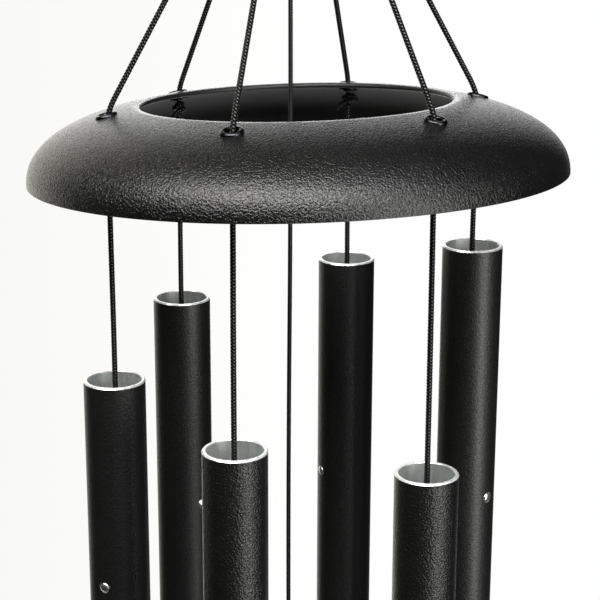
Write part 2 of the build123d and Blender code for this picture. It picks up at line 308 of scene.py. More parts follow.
def spaced(points, step):
    """The same line with its points evenly spaced."""
    along = travelled(points)
    count = max(4, round(along[-1] / step) + 1)
    even = np.linspace(0, along[-1], count)
    return np.stack([np.interp(even, along, points[:, k]) for k in range(3)], -1), even


def line_frames(points):
    """Tangent and two sideways directions at each point, turning as little as they can."""
    tangents = np.gradient(points, axis=0)
    tangents /= np.linalg.norm(tangents, axis=1)[:, None]
    across = np.cross(tangents[0], (0.31, 0.95, 0.12))
    sides = [across / np.linalg.norm(across)]
    for tangent in tangents[1:]:
        side = sides[-1] - tangent * (sides[-1] @ tangent)
        sides.append(side / np.linalg.norm(side))
    sides = np.array(sides)
    return tangents, sides, np.cross(tangents, sides)


def tube_along(points, radii, sides):
    """A round shell along a line."""
    tangents, side, other = line_frames(points)
    angles = np.arange(sides) * 2 * math.pi / sides
    out = side[:, None] * np.cos(angles)[:, None] + other[:, None] * np.sin(angles)[:, None]
    return grid(points[:, None] + out * np.broadcast_to(radii, len(points))[:, None, None], caps=(True, True))


def braided(points, diameter, sealed=(False, False)):
    """A braided cord along a line: strands that wind both ways, over and under each other, round a core."""
    pitch = BRAID_PITCH * diameter
    points, along = spaced(points, diameter * BRAID_STEP)
    tangents, side, other = line_frames(points)
    radius = diameter / 2
    shells = []
    phase = STRANDS * 2 * math.pi * along / pitch
    grain = np.arange(STRAND_SIDES) * 2 * math.pi / STRAND_SIDES
    for hand in (1, -1):
        for strand in range(STRANDS):
            angle = hand * 2 * math.pi * along / pitch + strand * 2 * math.pi / STRANDS
            out = side * np.cos(angle)[:, None] + other * np.sin(angle)[:, None]
            sideways = np.cross(tangents, out)
            reach = radius * (STRAND_REACH + hand * STRAND_WAVE * np.cos(phase))
            forward = tangents + sideways * (hand * 2 * math.pi * reach / pitch)[:, None]
            forward /= np.linalg.norm(forward, axis=1)[:, None]
            width = np.cross(forward, out)
            centre = points + out * reach[:, None]
            section = out[:, None] * (STRAND_HALF_THICKNESS * radius * np.cos(grain))[:, None]
            section = section + width[:, None] * (STRAND_HALF_WIDTH * radius * np.sin(grain))[:, None]
            # crown is 1 on the outward top of a strand where it crosses over and 0 underneath and at its
            # sides; the braid material paints its highlight and its shade from it
            over = 0.5 + 0.5 * hand * np.cos(phase)
            crown = np.clip(np.cos(grain), 0, 1) * over[:, None]
            rows = np.concatenate([centre[:, None] + section, crown[..., None]], -1)
            shells.append(grid(rows, caps=(True, True)))
    shells.append(tube_along(points[::3], CORE_REACH * radius, CORE_SIDES))
    for end, row in ((sealed[0], 0), (sealed[1], -1)):
        if end:
            shells.append(melted_end(points[row], tangents[row] * (1 if row else -1), radius))
    return joined(shells)


def melted_end(place, direction, radius):
    """The heat-sealed end of a cord."""
    profile = arc((0, 0), (0.98 * radius, 0.7 * radius), -90, 90, 9)[1:-1]
    shell = lathe(profile, 14, caps=(True, True))
    aim = Vector(direction).to_track_quat("Z", "Y").to_matrix().to_4x4()
    return moved(shell, Matrix.Translation(Vector(place)) @ aim)


def free_cord(name, control, diameter, body, node, **facts):
    """A free cord on its route."""
    points = spline_points(control)
    made = new_object(name, braided(points, diameter))
    finished(made, body, CORD_LOOK, "cord", node)
    return made


# ---- windings and knots, in shares of the cord's diameter ----
KNOT_STEPS = 8
KNOT_RISE = 0.98  # of a turn
LAYER_REACH = 0.92  # from one layer of turns to the next
LAYER_LAPS = 0.8  # turns fewer in the next layer
LAYER_TURN = 1.9  # radians from where one layer starts to where the next does
TAIL_BEND = (0.8, 0.25, 0.3)  # on from the last turn, outwards and down
TAIL_WAY = (0.75, 0.5, 0.85)
HITCH_STEPS = 10
HITCH_SWELL = 1.03  # of a hitch's control points, because its line runs inside them


def helix(radius, laps, steps, rise, start=0.0):
    """Control points of turns about Z, rising by the same amount in each, their middle at the origin.

    steps is how many points there are to a turn."""
    points = []
    for n in range(round(laps * steps) + 1):
        angle = 2 * math.pi * n / steps + start
        points.append((radius * math.cos(angle), radius * math.sin(angle), rise * (n / steps - laps / 2)))
    return points


def wound_knot(name, place, body, node, diameter, turns, heading, tail, through, layers=1, lean=14):
    """A knot tied round the cord's own line: a core, turns wound round it and two short sealed tails.

    tail is the tails' length, and through the core's half length for each turn, both in diameters."""
    rise = through * diameter * turns
    core = [(0, 0, rise), (0, 0, 0.3), (0, 0, -0.3), (0, 0, -rise)]
    shells = [braided(spline_points(core), diameter)]
    swell = 1 / math.cos(math.pi / KNOT_STEPS / 1.4)
    for layer in range(layers):
        radius = diameter * (1 + LAYER_REACH * layer) * swell
        laps = turns - LAYER_LAPS * layer
        wound = helix(radius, laps, KNOT_STEPS, diameter * KNOT_RISE, LAYER_TURN * layer)
        for end, order in ((0, 1), (-1, -1)):
            last, before = Vector(wound[end]), Vector(wound[end + order])
            way = (last - before).normalized()
            out = Vector((last.x, last.y, 0)).normalized()
            drop = Vector((0, 0, -1))
            ways = (way, out, drop)
            near = last + sum((w * diameter * share for w, share in zip(ways, TAIL_BEND)), Vector())
            aim = sum((w * share for w, share in zip(ways, TAIL_WAY)), Vector())
            far = near + aim.normalized() * diameter * tail
            extra = [tuple(near), tuple(near + (far - near) * 0.5), tuple(far)]
            wound = extra[::-1] + wound if end == 0 else wound + extra
        shell = braided(spline_points(wound), diameter, (True, True))
        shells.append(moved(shell, turn("X", lean)))
    made = new_object(name, moved(joined(shells), shift(*place) @ turn("Z", heading)))
    return finished(made, body, CORD_LOOK, "cord", node)


# ---- materials ----
def new_material(name):
    material = bpy.data.materials.new(name)
    material.use_nodes = True
    return material, material.node_tree


def node(tree, kind, inputs=(), **settings):
    made = tree.nodes.new(kind)
    for key, value in settings.items():
        setattr(made, key, value)
    for key, value in dict(inputs).items():
        if isinstance(value, bpy.types.NodeSocket):
            tree.links.new(value, made.inputs[key])
        else:
            made.inputs[key].default_value = value
    return made


def sums(tree, operation, first, second):
    return node(tree, "ShaderNodeMath", {0: first, 1: second}, operation=operation).outputs[0]


def noise(tree, where, scale, detail=2.0, roughness=0.5):
    settings = {"Vector": where, "Scale": scale, "Detail": detail, "Roughness": roughness}
    return node(tree, "ShaderNodeTexNoise", settings).outputs["Fac"]


def ranged(tree, value, from_low, from_high, to_low, to_high, smooth=False):
    """The value brought from one range to another, and held there."""
    settings = {
        "Value": value, "From Min": from_low, "From Max": from_high, "To Min": to_low, "To Max": to_high,
    }
    kind = "SMOOTHSTEP" if smooth else "LINEAR"
    return node(tree, "ShaderNodeMapRange", settings, interpolation_type=kind).outputs["Result"]


def blended(tree, share, first, second):
    return node(tree, "ShaderNodeMix", {0: share, 6: first, 7: second}, data_type="RGBA").outputs[2]


def own_place(tree):
    return node(tree, "ShaderNodeTexCoord").outputs["Object"]


def stretched(tree, where, scale):
    return node(tree, "ShaderNodeVectorMath", {0: where, 1: scale}, operation="MULTIPLY").outputs[0]


def grey(level, warmth=0.0):
    return (level * (1 + warmth), level, level * (1 - warmth), 1)


def powder_height(tree, where, scale, flat):
    """The wrinkle of a textured powder coat: small worms with pits between them, flat-topped or round."""
    settings = {"Vector": where, "Scale": scale, "Detail": 1.6, "Roughness": 0.5, "Distortion": 0.4}
    folds = node(tree, "ShaderNodeTexNoise", settings).outputs["Fac"]
    if flat:
        worms = ranged(tree, folds, 0.44, 0.61, 0.0, 0.55, True)
    else:
        worms = ranged(tree, folds, 0.25, 0.75, 0.0, 1.6)
    grain = noise(tree, where, 2100, 1.0, 0.5)
    return sums(tree, "ADD", worms, sums(tree, "MULTIPLY", grain, 0.06))


def powder_parts(tree, where, scale, depth, gloss, flat):
    """Colour, roughness and normal of the powder coat."""
    height = powder_height(tree, where, scale, flat)
    cloud = noise(tree, where, 45, 3.0, 0.55)
    colour = blended(tree, ranged(tree, cloud, 0.3, 0.7, 0, 1), grey(0.0020, 0.02), grey(0.0035, 0.03))
    rough = ranged(tree, noise(tree, where, 900, 2.0), 0.3, 0.7, gloss, gloss + 0.08)
    bump = node(tree, "ShaderNodeBump", {"Strength": 1.0, "Distance": depth, "Height": height})
    return colour, rough, bump.outputs[0]


def principled(tree, **inputs):
    shader = tree.nodes["Principled BSDF"]
    for key, value in inputs.items():
        socket = shader.inputs[key.replace("_", " ")]
        if isinstance(value, bpy.types.NodeSocket):
            tree.links.new(value, socket)
        else:
            socket.default_value = value
    return shader


def powder_coat(name, scale, depth, gloss, flat=True):
    """Black powder coat: the fineness of its wrinkle, its depth in metres and the coat's roughness."""
    material, tree = new_material(name)
    colour, rough, normal = powder_parts(tree, own_place(tree), scale, depth, gloss, flat)
    principled(tree, Base_Color=colour, Roughness=rough, Normal=normal, IOR=1.5, Specular_IOR_Level=0.5)
    return material


def bare_metal(name, colour, rough, lines=(2600, 2600, 45), strength=0.10, metallic=1.0, nicks=0.0):
    """Drawn or turned bare metal with fine lines along one direction, and dark saw nicks where it is cut."""
    material, tree = new_material(name)
    where = own_place(tree)
    drawn = noise(tree, stretched(tree, where, lines), 1.0, 3.0, 0.6)
    cloud = noise(tree, where, 130, 3.0, 0.6)
    duller = tuple(0.82 * c for c in colour[:3]) + (1,)
    shade = blended(tree, ranged(tree, cloud, 0.35, 0.7, 0, 1), colour, duller)
    nicked = ranged(tree, noise(tree, where, 620, 2.0, 0.6), 0.57, 0.63, 0.0, nicks)
    shade = blended(tree, nicked, shade, (0.12, 0.12, 0.115, 1))
    roughness = ranged(tree, drawn, 0.3, 0.7, rough * 0.8, rough * 1.25)
    bump = node(tree, "ShaderNodeBump", {"Strength": strength, "Distance": 0.00006, "Height": drawn})
    principled(tree, Base_Color=shade, Metallic=metallic, Roughness=roughness, Normal=bump.outputs[0])
    return material


def cord_look():
    """Black braid with a near-black painted shade between the strands and a painted highlight, paler and
    glossier, on each strand's crown where it crosses over.
    """
    material, tree = new_material("braided_cord")
    where = own_place(tree)
    fibre = noise(tree, where, 6500, 2.0, 0.6)
    crown = node(tree, "ShaderNodeAttribute", attribute_name="crown").outputs["Fac"]
    crown = ranged(tree, crown, 0.55, 1.0, 0.0, 1.0, True)
    # painted highlight colour for the strands' crowns: pale grey varied by fibre noise, blended by crown over
    # the painted shade of the valleys
    painted_crown_highlight = blended(tree, ranged(tree, fibre, 0.35, 0.7, 0, 1), grey(0.05), grey(0.11, 0.02))
    shade = blended(tree, crown, grey(0.0015), painted_crown_highlight)
    bump = node(tree, "ShaderNodeBump", {"Strength": 0.4, "Distance": 0.00005, "Height": fibre})
    principled(
        tree, Base_Color=shade, Roughness=0.34, Normal=bump.outputs[0],
        Specular_IOR_Level=ranged(tree, crown, 0, 1, 0.08, 0.75),
    )
    return material


CORD_LOOK = cord_look()
POWDER = powder_coat("textured_powder_coat", 1250, 0.00013, 0.21, flat=False)
INNER_POWDER = powder_coat("inner_powder_coat", 1120, 0.00009, 0.42)
TUBE_POWDER = powder_coat("tube_powder_coat", 1300, 0.00012, 0.285, flat=False)
SATIN_POWDER = powder_coat("satin_powder_coat", 1100, 0.00006, 0.38)
ALUMINIUM = bare_metal("cut_aluminium", (0.88, 0.89, 0.895, 1), 0.30, metallic=0.55, nicks=0.55)
BORE_METAL = bare_metal("bore_aluminium", (0.74, 0.765, 0.755, 1), 0.46)
PIN_LOOK = bare_metal("pin_aluminium", (0.80, 0.79, 0.78, 1), 0.3, (900, 900, 900))
STEEL = bare_metal("ring_steel", (0.58, 0.57, 0.55, 1), 0.30, (500, 500, 500), 0.02)
GUNMETAL = bare_metal("eyelet_gunmetal", (0.045, 0.046, 0.05, 1), 0.24, (1500, 1500, 1500), 0.06)


def moulded_plastic():
    """Black plastic with a fine moulded grain."""
    material, tree = new_material("moulded_plastic")
    where = own_place(tree)
    grain = noise(tree, where, 1400, 3.0, 0.6)
    cloud = noise(tree, where, 38, 3.0, 0.6)
    shade = blended(tree, ranged(tree, cloud, 0.3, 0.7, 0, 1), grey(0.010), grey(0.017, 0.03))
    bump = node(tree, "ShaderNodeBump", {"Strength": 0.35, "Distance": 0.00008, "Height": grain})
    rough = ranged(tree, grain, 0.3, 0.7, 0.42, 0.6)
    principled(tree, Base_Color=shade, Roughness=rough, Normal=bump.outputs[0])
    return material


PLASTIC = moulded_plastic()

make_camera()


# ---- the halo's section and the places of its eyelets ----
def halo_section_point(angle, inset=0.0):
    """A point of the halo's section as (radius, height) and the normal there, as in the part's source."""
    width = HALO_RADIUS - HALO_CROWN_RADIUS
    across = math.cos(angle) ** (2 / HALO_POWER)
    up = math.sin(angle) ** (2 / HALO_POWER)
    normal = Vector((across ** (HALO_POWER - 1) / width, up ** (HALO_POWER - 1) / HALO_HEIGHT)).normalized()
    place = Vector((HALO_CROWN_RADIUS + width * across, HALO_HEIGHT * up - HALO_SKIRT_DROP))
    return place - normal * inset, normal


def section_angle_at(radius):
    share = (radius - HALO_CROWN_RADIUS) / (HALO_RADIUS - HALO_CROWN_RADIUS)
    return math.acos(share ** (HALO_POWER / 2))


def eyelet_place(number):
    """The frame in the middle of the halo's wall at an eyelet, its Z along the wall's normal."""
    heading = math.radians(heading_deg(number))
    out = Vector((math.sin(heading), -math.cos(heading), 0))
    place, normal = halo_section_point(section_angle_at(TUBE_CIRCLE), HALO_WALL / 2)
    z_dir = out * normal[0] + Vector((0, 0, normal[1]))
    x_dir = Vector((0, 0, 1)).cross(out)
    y_dir = z_dir.cross(x_dir)
    axes = Matrix((x_dir, y_dir, z_dir)).transposed().to_4x4()
    return HALO_PLACE @ Matrix.Translation(out * place[0] + Vector((0, 0, place[1]))) @ axes


# ---- the cords' routes ----
STRAIGHT_RUN = 6 * CORD  # where a cord comes straight out of a knot or goes straight to a bend
TUBE_CORD_SWAY = Vector((0.35, 0.2, 0))
CENTRE_CORD_SWAY = Vector((0.5, 0.1, 0))
KNOT_REACH = Vector((0, 0, STOPPER_RADIUS + RUNNING_GAP))
DOWN_RUN = Vector((0, 0, -STRAIGHT_RUN))


def halo_cord_route(number):
    """Out of the gathering knot, straight down to the eyelet's edge, over it and in to the stopper knot."""
    bend = eyelet_place(number).translation + Vector((0, 0, BEND_ABOVE_EYELET))
    apex = Vector((0, 0, APEX_Z))
    run = bend - apex
    start = apex + run * ((GATHER_BELOW_APEX - CORD) / -run.z)
    near = bend - run.normalized() * STRAIGHT_RUN
    foot = Vector(middle(f"stopper_knot_{number}")) + KNOT_REACH
    return [start, near, bend, foot]


def tube_cord_route(number):
    """Down from the stopper knot to the turns round the cross pin, swaying a little half way."""
    top = Vector(middle(f"stopper_knot_{number}")) - KNOT_REACH
    foot = Vector(middle(f"tube_pin_{number}")) + Vector((0, 0, PIN / 2 + CORD))
    sway = TUBE_CORD_SWAY * (-1) ** number
    return [top, top + DOWN_RUN, (top + foot) / 2 + sway, foot - DOWN_RUN, foot]


def upright_route(cord, stops):
    """Down the middle of a plain CAD cord: stops are shares of its height and sways there."""
    top = Vector((CENTRE_CORD_X, 0, high(cord)[2]))
    span = Vector((CENTRE_CORD_X, 0, low(cord)[2])) - top
    return [top + span * share + CENTRE_CORD_SWAY * sway for share, sway in stops]


for number in numbers:
    free_cord(
        f"upper_cord_{number}", halo_cord_route(number), CORD, "halo_frame", f"halo_cord_{number}",
        far_end="object", lay="taut",
    )
    free_cord(
        f"lower_cord_{number}", tube_cord_route(number), CORD, f"line_{number}", f"tube_cord_{number}",
        far_end="object", lay="taut",
    )
stop_knot = wound_knot(
    "stop_knot", middle("striker_knot"), "striker_line", "striker_knot", diameter=1.75, turns=2.6,
    layers=2, heading=35, lean=8, tail=1.6, through=0.86,
)
route = upright_route("centre_cord", ((0, 0), (0.03, 0), (0.35, 1), (0.65, -1), (0.97, 0), (1, 0)))
free_cord(
    "middle_cord", route, CENTRE_CORD, "striker_line", "centre_cord",
    far_end="knot", lay="taut", with_pieces=[stop_knot],
)
route = upright_route("sail_cord", ((0, 0), (0.05, 0), (0.5, 0), (0.95, 0), (1, 0)))
free_cord(
    "lower_middle_cord", route, CENTRE_CORD, "sail_line", "sail_cord",
    far_end="object", lay="taut",
)


# ---- halo ----
LIP_RADIUS = 8.0  # of the opening's rolled edge
LIP_DIP_DEG = 12  # how far past level the edge rolls
LIP_START = 3.9  # outside the opening's radius
EDGE_ROUND_DEG = 72  # of each side of the shell's cut edge
SKIRT_START = 0.004  # radians up the section, just clear of its very foot
HALO_SEGMENTS = 384
BORE_SEGMENTS = 48
EYELET_SEGMENTS = 64
INWARDS, DOWNWARDS = -0.35, -0.2  # the duller coat starts where a face's normal points further in or down


def halo_profile():
    """The closed section of the shell, up its outside, over the opening's rolled edge and down its inside."""
    half, roll, dip = HALO_WALL / 2, LIP_RADIUS, math.radians(LIP_DIP_DEG)
    last = section_angle_at(HALO_OPENING_RADIUS + LIP_START)
    angles = np.linspace(SKIRT_START, last, 64)
    middle_line = [halo_section_point(a, half) for a in angles]
    end, normal = middle_line[-1]
    start = math.atan2(normal[0], normal[1])
    hub = end - normal * roll
    for a in np.linspace(start, -dip, 14)[1:]:
        out = Vector((math.sin(a), math.cos(a)))
        middle_line.append((hub + out * roll, out))
    end, normal = middle_line[-1]
    ahead = Vector((-normal[1], normal[0]))
    profile = [tuple(p + n * half) for p, n in middle_line]
    for a in np.radians(np.linspace(EDGE_ROUND_DEG, -EDGE_ROUND_DEG, 9)):
        profile.append(tuple(end + normal * (math.sin(a) * half) + ahead * (math.cos(a) * half)))
    profile += [tuple(p - n * half) for p, n in middle_line[::-1]]
    return profile


def make_halo():
    """The spun shell with its six bores. What faces inwards or down has the duller coat."""
    shell = moved(lathe(halo_profile(), HALO_SEGMENTS, loop=True), HALO_PLACE)
    made = new_object("halo_shell", shell)
    radius = EYELET_BARREL / 2 + SEAT_GAP
    bore = lathe([(radius, -2 * HALO_WALL), (radius, 2 * HALO_WALL)], BORE_SEGMENTS, caps=(True, True))
    cut(made, joined([moved(bore, eyelet_place(n)) for n in numbers]))
    finished(made, "halo_frame", [POWDER, INNER_POWDER], "powder_coat", "halo", sharp_deg=40)
    for polygon in made.data.polygons:
        inwards = polygon.normal.xy.dot(polygon.center.xy.normalized())
        polygon.material_index = 1 if inwards < INWARDS or polygon.normal.z < DOWNWARDS else 0


def eyelet_profile():
    """A grommet: round top flange, straight barrel and a rolled foot, as a closed section."""
    bore, barrel = EYELET_BORE / 2, EYELET_BARREL / 2
    flange, roll = EYELET_FLANGE / 2, EYELET_ROLL / 2
    top = HALO_WALL / 2
    foot = -top - EYELET_SHELL_GAP
    crown = arc(((bore + flange) / 2, top), ((flange - bore) / 2, EYELET_FLANGE_THICKNESS), 0, 180, 17)
    rolled = arc(((bore + roll) / 2, foot), ((roll - bore) / 2, EYELET_ROLL_THICKNESS), 180, 360, 13)
    return [(barrel, foot), (barrel, top)] + crown + [(bore, foot)] + rolled


make_halo()
for number in numbers:
    shell = moved(lathe(eyelet_profile(), EYELET_SEGMENTS, loop=True), eyelet_place(number))
    made = new_object(f"grommet_{number}", shell)
    finished(made, "halo_frame", GUNMETAL, "eyelet", f"eyelet_{number}", sharp_deg=50)

# ---- knots under the halo, their higher side turned inwards ----
STOPPER_TURN_DEG = 35  # from the tube's heading
for number in numbers:
    wound_knot(
        f"tied_knot_{number}", middle(f"stopper_knot_{number}"), f"knot_{number}",
        f"stopper_knot_{number}", diameter=2.05, turns=1.5, heading=heading_deg(number) + STOPPER_TURN_DEG,
        tail=1.3, through=0.8,
    )


# ---- gathering knot and hanger ----
WHIP = 2.3  # the whipping cord
WHIP_LAPS = 7
WHIP_STEPS = 12
WHIP_SWELL = 1.017  # of its control points, because the line runs inside them
WHIP_TAIL = ((0.6, 2.2, 0.6), (0.9, 5.6, 1.0))  # on from the last turn: outwards, along and up
WHIP_HEADING = 200
BUNDLE_RADIUS = 4.6
BUNDLE_CHAMFER = ((0.0, 2.4), (0.7, 1.6))  # in from the bundle's side, and in from the whipping's end
BUNDLE_SEGMENTS = 48
BIGHT_SWELL = 1.04
BIGHT_DRAW = 0.62  # how far the bights stay apart in the whipping, as a share of what they are on the ring
BIGHT_FOOT = ((1.7, -3), (1.9, 0.4))  # half the bight's width, and the height over the whipping
BIGHT_SIDE = 2.6  # how far below the wire a bight's sides start to close
BIGHT_SHOULDER, BIGHT_TOP = 0.72, 1.18  # heights over the wire, in shares of the bend's radius


def make_gather():
    """The cords' bundle whipped with close turns."""
    radius = GATHER_RADIUS - WHIP / 2
    height = GATHER_HEIGHT - WHIP
    wound = helix(radius * WHIP_SWELL, WHIP_LAPS, WHIP_STEPS, height / WHIP_LAPS)
    tail = [(radius + out, along, height / 2 + up) for out, along, up in WHIP_TAIL]
    shells = [braided(spline_points(wound + tail), WHIP, (True, True))]
    upper = [(BUNDLE_RADIUS - inset, GATHER_HEIGHT / 2 - short) for inset, short in BUNDLE_CHAMFER]
    core = [(r, -z) for r, z in upper[::-1]] + upper
    shells.append(lathe(core, BUNDLE_SEGMENTS, caps=(True, True)))
    place = shift(0, 0, (GATHER_TOP_Z + GATHER_FOOT_Z) / 2)
    made = new_object("whipping", moved(joined(shells), place @ turn("Z", WHIP_HEADING)))
    finished(made, "halo_frame", CORD_LOOK, "cord", "gather_knot")


def make_loops():
    """Three bights of cord over the ring's wire, drawn together into the whipping."""
    ring = middle("hanging_ring")
    line = (high("hanging_ring")[0] - low("hanging_ring")[0] - RING_WIRE) / 2
    bend = RING_WIRE / 2 + LOOP_GAP + CORD / 2
    shells = []
    for n in (-1, 0, 1):
        swing = math.radians(BIGHT_PITCH_DEG * n)
        crown = Vector((-line * math.sin(swing), 0, ring[2] - line * math.cos(swing)))
        up = Vector((math.sin(swing), 0, math.cos(swing)))
        x = crown.x * BIGHT_DRAW
        legs = []
        for side in (1, -1):
            beside = crown + Vector((0, side * bend * BIGHT_SWELL, 0))
            foot = [Vector((x, side * half, GATHER_TOP_Z + level)) for half, level in BIGHT_FOOT]
            legs.append(foot + [beside - up * BIGHT_SIDE, beside + up * bend * BIGHT_SHOULDER])
        route = legs[0] + [crown + up * bend * BIGHT_TOP] + legs[1][::-1]
        shells.append(braided(spline_points(route), CORD))
    made = new_object("bights", joined(shells))
    finished(made, "halo_frame", CORD_LOOK, "cord", "hang_loops")


WELD_DEG = 55  # round the ring from +X
WELD_HALF_WIDTH = 0.06  # radians
WELD_BEAD = 0.22


def ring_shell(radius, wire, segments, sides, weld=0.0):
    """A closed ring of round wire in the XZ plane, thicker by a weld bead beside its top."""
    angles = np.arange(segments) * 2 * math.pi / segments
    round_it = np.arange(sides) * 2 * math.pi / sides
    bead = weld * np.exp(-((angles - math.radians(WELD_DEG)) / WELD_HALF_WIDTH) ** 4)
    thick = wire / 2 + bead
    out = np.stack([np.cos(angles), 0 * angles, np.sin(angles)], -1)
    rows = out[:, None] * (radius + thick[:, None] * np.cos(round_it))[..., None]
    rows = rows + np.array([0, 1, 0]) * (-thick[:, None] * np.sin(round_it))[..., None]
    return grid(rows[::-1], loop=True)


make_gather()
make_loops()
size = high("hanging_ring") - low("hanging_ring")
shell = ring_shell((size[0] - RING_WIRE) / 2, RING_WIRE, segments=240, sides=32, weld=WELD_BEAD)
made = new_object("top_ring", moved(shell, shift(*middle("hanging_ring"))))
finished(made, "hanger", STEEL, "steel", "hanging_ring")


# ---- tubes ----
BEVEL = 0.6  # of an end, up the outside
BEVEL_IN = 0.45  # and across its rim
BORE_BEVEL = (0.3, 0.2)  # up the bore and across the rim
PIN_HEAD_RADIUS = 2.0
PIN_HEAD_DEPTH = 1.4  # how far in from the tube's outside it reaches
PIN_HEAD_ROUND = (0.35, 0.95)  # where its rounding starts inside the tube's outside, and its rise
PIN_MOUTH_RADIUS = 2.4
PIN_TURNS = 3
PIN_TURN_RADIUS = 2.9
PIN_TURN_RISE = 2.45
NEAR_TUBES = (5, 6)  # the two whose wrinkle the photograph shows
TUBE_SEGMENTS = 128
PIN_SEGMENTS = 40
END_ROW = 3  # how far from each end the wall has a row of points
COAT_EDGE = 0.06  # how far inside the tube's radius a face's middle may be and still count as outside


def tube_profile(length):
    """The closed section of a tube below its top: up the outside and down the bore, its ends bare."""
    outer, inner = TUBE_OD / 2, TUBE_OD / 2 - TUBE_WALL
    rise, across = BORE_BEVEL
    levels = (-length + BEVEL, -length + END_ROW, -length / 2, -END_ROW, -BEVEL)
    outside = [(outer, level) for level in levels]
    top = [(outer - BEVEL_IN, 0), (inner + across, 0)]
    inside = [(inner, level) for level in (-rise, -END_ROW, -length / 2, -length + rise)]
    foot = [(inner + across, -length), (outer - BEVEL_IN, -length)]
    return outside + top + inside + foot


def pin_profile():
    """A cross pin: a plain shank with a rounded head at each end, proud of the tube in a wider mouth."""
    half, (shoulder, rise) = TUBE_OD / 2, PIN_HEAD_ROUND
    head = [(PIN / 2, half - PIN_HEAD_DEPTH - 0.6), (PIN_HEAD_RADIUS, half - PIN_HEAD_DEPTH)]
    head += [(PIN_HEAD_RADIUS, half - shoulder)]
    head += arc((0, half - shoulder), (PIN_HEAD_RADIUS, rise), 8, 86, 9)
    return [(r, -z) for r, z in head[::-1]] + head


def make_tube(number):
    """A tube with its mouths for the pin: coated outside, bare at its cut ends and in its bore."""
    lowest, highest = low(f"tube_{number}"), high(f"tube_{number}")
    length = highest[2] - lowest[2]
    place = np.append(((lowest + highest) / 2)[:2], highest[2])
    shell = moved(lathe(tube_profile(length), TUBE_SEGMENTS, loop=True), shift(*place))
    made = new_object(f"coated_tube_{number}", shell, place)
    drill = [(PIN_MOUTH_RADIUS, -TUBE_OD), (PIN_MOUTH_RADIUS, TUBE_OD)]
    cut(made, moved(lathe(drill, PIN_SEGMENTS, caps=(True, True)), pin_place(number)))
    coat = TUBE_POWDER if number in NEAR_TUBES else SATIN_POWDER
    looks = [coat, ALUMINIUM, BORE_METAL]
    finished(made, f"tube_{number}_body", looks, "powder_coat", f"tube_{number}", sharp_deg=30)
    for polygon in made.data.polygons:
        level = polygon.center.z / MM
        radius = math.hypot(polygon.center.x, polygon.center.y) / MM
        upright = abs(polygon.normal.z) < 0.2 and -length + BEVEL < level < -BEVEL
        polygon.material_index = (0 if radius > TUBE_OD / 2 - COAT_EDGE else 2) if upright else 1


def pin_place(number):
    """The frame in the middle of a cross pin, its Z along the pin."""
    level = shift(*middle(f"tube_pin_{number}")) @ turn("Z", PIN_HEADINGS_DEG[number - 1] - 90)
    return level @ turn("Y", 90)


for number in numbers:
    make_tube(number)
    shell = lathe(pin_profile(), PIN_SEGMENTS, caps=(True, True))
    made = new_object(f"cross_pin_{number}", moved(shell, pin_place(number)))
    finished(made, f"tube_{number}_body", PIN_LOOK, "pin", f"tube_pin_{number}")
    wound = helix(PIN_TURN_RADIUS * HITCH_SWELL, PIN_TURNS, HITCH_STEPS, PIN_TURN_RISE)
    shell = braided(spline_points(wound), CORD, (True, True))
    made = new_object(f"pin_turns_{number}", moved(shell, pin_place(number)))
    finished(made, f"line_{number}", CORD_LOOK, "cord", f"pin_hitch_{number}")


# ---- striker ----
GROOVE = ((1.6, 0.0), (1.1, 0.45), (0.0, 0.55))  # round the rim: height from its middle, and depth
DISH = ((30, 0), (29.3, 0.25), (28.6, 0.35), (12, 0.35), (11, 0.2), (10.2, 0))  # radius and depth
STRIKER_SEGMENTS = 160


def striker_profile():
    """A disc with rounded edges, a shallow groove round its rim and a dished face, as a closed section."""
    r, h, e = STRIKER_DIAMETER / 2, STRIKER_THICKNESS / 2, STRIKER_ROUNDING
    bore, mouth = STRIKER_BORE / 2, STRIKER_BORE_ROUNDING
    side = arc((r - e, -h + e), (e, e), -90, 0, 10)
    side += [(r - d, -z) for z, d in GROOVE] + [(r - d, z) for z, d in GROOVE[-2::-1]]
    side += arc((r - e, h - e), (e, e), 0, 90, 10)
    face = [(x, h - depth) for x, depth in DISH]
    face += arc((bore + mouth, h - mouth), (mouth, mouth), 90, 180, 6)
    return side + face + [(x, -z) for x, z in face[::-1]]


shell = moved(lathe(striker_profile(), STRIKER_SEGMENTS, loop=True), shift(*middle("striker")))
made = new_object("striker_disc", shell)
finished(made, "striker_disc", PLASTIC, "striker", "striker", sharp_deg=50)
wound_knot(
    "collar_knot", middle("centre_knot"), "centre_knot_body", "centre_knot", diameter=1.3, turns=1.5,
    heading=90, tail=1.2, through=0.9,
)
wound_knot(
    "swivel_knot", middle("sail_knot"), "sail_knot_body", "sail_knot", diameter=1.7, turns=1.5,
    heading=140, tail=2.0, through=0.9,
)

# ---- sail ----
SAIL_BORE_RADIUS = SAIL_EYELET_BARREL / 2 + SEAT_GAP
SAIL_OUTLINE_POINTS = 200  # a quarter of them round the top
SAIL_FACE_ROWS = 12
SAIL_GROMMET_SEGMENTS = 56
SAIL_TURNS = 2
SAIL_TURN_RADIUS = 2.35


def sail_outline(inset, y):
    """The teardrop's outline moved inwards, about the middle of its hole, at a depth y."""
    head_r, foot_r = SAIL_TOP_RADIUS, SAIL_BOTTOM_RADIUS
    head_z = SAIL_HOLE_BELOW_TOP - head_r
    foot_z = SAIL_HOLE_BELOW_TOP - SAIL_HEIGHT + foot_r
    tilt = math.asin((foot_r - head_r) / (head_z - foot_z))
    above = np.linspace(tilt, math.pi - tilt, SAIL_OUTLINE_POINTS // 4)
    below = np.linspace(math.pi - tilt, 2 * math.pi + tilt, 3 * SAIL_OUTLINE_POINTS // 4)
    upper = [(head_r - inset, head_z, a) for a in above]
    lower = [(foot_r - inset, foot_z, a) for a in below]
    return np.array([(r * math.cos(a), y, z + r * math.sin(a)) for r, z, a in upper + lower])


